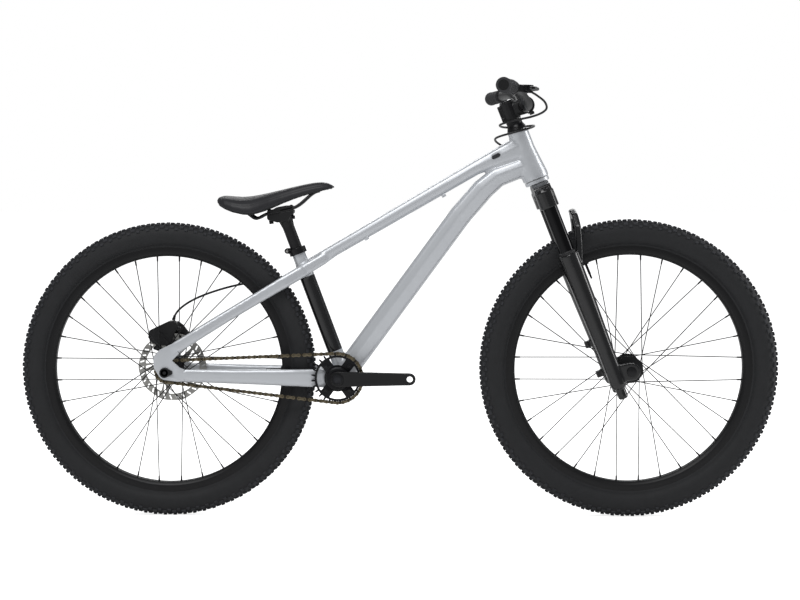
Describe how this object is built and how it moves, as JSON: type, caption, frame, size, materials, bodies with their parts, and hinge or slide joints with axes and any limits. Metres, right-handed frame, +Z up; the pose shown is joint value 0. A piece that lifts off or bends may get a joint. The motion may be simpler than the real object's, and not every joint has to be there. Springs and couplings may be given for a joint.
{
  "type": "dirt jump bike",
  "caption": "Single-speed hardtail bicycle with a short-travel suspension fork, low saddle, rear disc brake, flat-laced black wheels and knobby tyres, without pedals.",
  "frame": {"origin": "on the ground in the bike's mid-plane, midway between the tyres' outermost points", "axes": "+X forward, +Y to the rider's left, +Z up"},
  "size_m": [1.742, 0.765, 0.9928],
  "materials": {
    "silver_paint": "satin silver paint",
    "black_metal": "black anodised",
    "gloss_black": "gloss black paint",
    "stanchion": "polished black coating",
    "steel": "bare steel",
    "chain_steel": "brown oiled steel",
    "tyre_rubber": "matt black",
    "rubber": "matt black",
    "saddle_skin": "matt black synthetic cover",
    "saddle_plastic": "matt black"
  },
  "bodies": {
    "frame": {"head_tube": "silver_paint", "upper_bearing": "steel", "lower_bearing": "steel", "lower_cup": "silver_paint", "bottom_bracket_shell": "silver_paint", "down_tube": "silver_paint", "seat_tube": "silver_paint", "top_tube": "silver_paint", "dropout_right": "silver_paint", "dropout_left": "silver_paint", "chainstay_right": "silver_paint", "chainstay_left": "silver_paint", "seatstay_right": "silver_paint", "seatstay_left": "silver_paint", "bracket_cup_right": "black_metal", "bracket_cup_left": "black_metal", "rear_axle": "black_metal", "rear_axle_nut": "black_metal", "seat_collar": "black_metal", "chain": "chain_steel", "brake_caliper": "black_metal", "rear_hose": "rubber", "port_plug": "rubber"},
    "steering": {"crown_and_steerer": "black_metal", "stanchion_right": "stanchion", "stanchion_left": "stanchion", "headset_cover": "black_metal", "stem_body": "black_metal", "stem_faceplate": "black_metal", "top_cap": "black_metal", "handlebar": "black_metal", "grip_right": "rubber", "grip_left": "rubber", "brake_master_cylinder": "black_metal", "front_hose": "rubber"},
    "fork_lowers": {"fork_lowers": "gloss_black", "wiper_seal_right": "rubber", "wiper_seal_left": "rubber", "front_axle": "black_metal"},
    "front_wheel": {"front_tyre": "tyre_rubber", "front_inner_tube": "rubber", "front_rim": "black_metal", "front_hub_and_spokes": "black_metal"},
    "rear_wheel": {"rear_tyre": "tyre_rubber", "rear_inner_tube": "rubber", "rear_rim": "black_metal", "rear_hub_and_spokes": "black_metal", "brake_rotor": "steel"},
    "cranks": {"chainring": "black_metal", "crank_right": "black_metal", "crank_left_and_spindle": "black_metal"},
    "cog": {"drive_cog": "steel"},
    "seatpost": {"seatpost": "black_metal", "saddle_clamp": "black_metal", "saddle_rails": "black_metal", "saddle_shell": "saddle_plastic", "saddle_pad": "saddle_skin"},
    "brake_lever": {"brake_lever_blade": "black_metal"},
    "brake_pad_inner": {"brake_pad_inner": "steel"},
    "brake_pad_outer": {"brake_pad_outer": "steel"}
  },
  "joints": [
    {"name": "steer", "type": "hinge", "parent": "frame", "child": "steering", "pos_m": [0.31413, 0, 0.7768], "axis": [-0.3665, 0, 0.9304], "range_deg": [-80, 80], "deforming": ["front_hose"]},
    {"name": "fork_travel", "type": "slide", "parent": "steering", "child": "fork_lowers", "axis": [-0.3665, 0, 0.9304], "range_m": [0, 0.1], "stiffness_N_per_m": 13500, "springref_m": -0.011},
    {"name": "front_wheel_spin", "type": "hinge", "parent": "fork_lowers", "child": "front_wheel", "pos_m": [0.528, 0, 0.343], "axis": [0, 1, 0], "continuous": true},
    {"name": "rear_wheel_spin", "type": "hinge", "parent": "frame", "child": "rear_wheel", "pos_m": [-0.532, 0, 0.339], "axis": [0, 1, 0], "continuous": true},
    {"name": "crank_spin", "type": "hinge", "parent": "frame", "child": "cranks", "pos_m": [-0.13992, 0, 0.324], "axis": [0, 1, 0], "continuous": true, "deforming": ["chain"]},
    {"name": "cog_spin", "type": "hinge", "parent": "frame", "child": "cog", "pos_m": [-0.532, 0, 0.339], "axis": [0, 1, 0], "continuous": true},
    {"name": "seatpost_height", "type": "slide", "parent": "frame", "child": "seatpost", "axis": [-0.3502, 0, 0.9367], "range_m": [-0.04, 0.04]},
    {"name": "brake_lever_pull", "type": "hinge", "parent": "steering", "child": "brake_lever", "pos_m": [0.28793, -0.22197, 0.97357], "axis": [-0.0785, 0, -0.9969], "range_deg": [0, 15], "stiffness_Nm_per_rad": 1, "springref_deg": -11.46},
    {"name": "pad_inner_slide", "type": "slide", "parent": "frame", "child": "brake_pad_inner", "axis": [0, 1, 0], "range_m": [0, 0.0004]},
    {"name": "pad_outer_slide", "type": "slide", "parent": "frame", "child": "brake_pad_outer", "axis": [0, -1, 0], "range_m": [0, 0.0004]}
  ],
  "couplings": [
    {"joint": "cog_spin", "follows": "crank_spin", "ratio": 2.3333},
    {"joint": "pad_inner_slide", "follows": "brake_lever_pull", "m_per_rad": 0.0015},
    {"joint": "pad_outer_slide", "follows": "brake_lever_pull", "m_per_rad": 0.0015}
  ]
}
